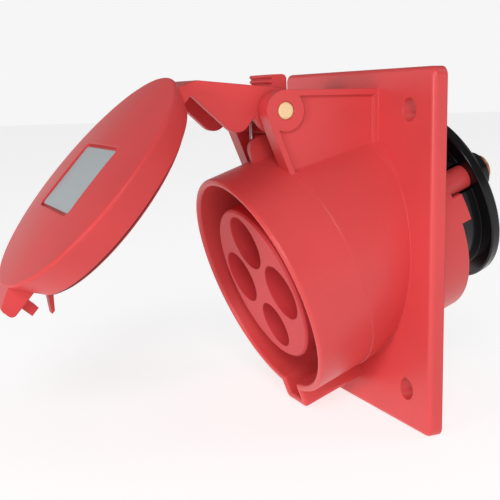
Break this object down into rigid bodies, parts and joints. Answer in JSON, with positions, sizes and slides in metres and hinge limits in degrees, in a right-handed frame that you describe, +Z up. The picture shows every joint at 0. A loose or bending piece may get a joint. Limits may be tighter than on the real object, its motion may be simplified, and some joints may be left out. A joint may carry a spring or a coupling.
{
  "type": "industrial panel socket",
  "caption": "Angled panel-mounting power socket on a rectangular flange, with a round shrouded insert, a keyway and a hinged round lid standing open.",
  "frame": {"origin": "centre of the four fixing holes, on the panel face at the back of the flange", "axes": "+Z up the panel, -Y out of the panel's front, +X to the right as seen from the front; the socket looks 20.5 degrees below -Y"},
  "size_m": [0.0724, 0.1259, 0.085],
  "materials": {
    "housing_red": "semi-gloss moulded",
    "insert_red": "satin moulded",
    "lid_red": "semi-gloss moulded with a fine grain",
    "carrier_black": "glossy moulded",
    "contact_brass": "turned",
    "spring_steel": "drawn wire",
    "screw_steel": "yellow passivated zinc",
    "clamp_steel": "zinc plated",
    "pin_cream": "natural moulded",
    "seal_black": "matt",
    "seal_lid": "matt",
    "label_grey": "bare, satin"
  },
  "bodies": {
    "root": {"housing": "housing_red", "insert_seat": "housing_red", "panel_gasket": "seal_black", "contact_insert": "insert_red", "contact_l1": "contact_brass", "contact_l2": "contact_brass", "contact_l3": "contact_brass", "contact_earth": "contact_brass", "contact_ring_l1": "spring_steel", "contact_ring_l2": "spring_steel", "contact_ring_l3": "spring_steel", "contact_ring_earth": "spring_steel", "rear_carrier": "carrier_black", "terminal_screws": "clamp_steel", "carrier_screws": "screw_steel", "hinge_pin": "pin_cream", "closing_spring": "spring_steel"},
    "lid": {"lid": "lid_red", "lid_gasket": "seal_lid", "label_plate": "label_grey"}
  },
  "joints": [
    {"name": "lid_hinge", "type": "hinge", "parent": "root", "child": "lid", "pos_m": [0, -0.02828, 0.03323], "axis": [1, 0, 0], "range_deg": [-25, 62]}
  ]
}
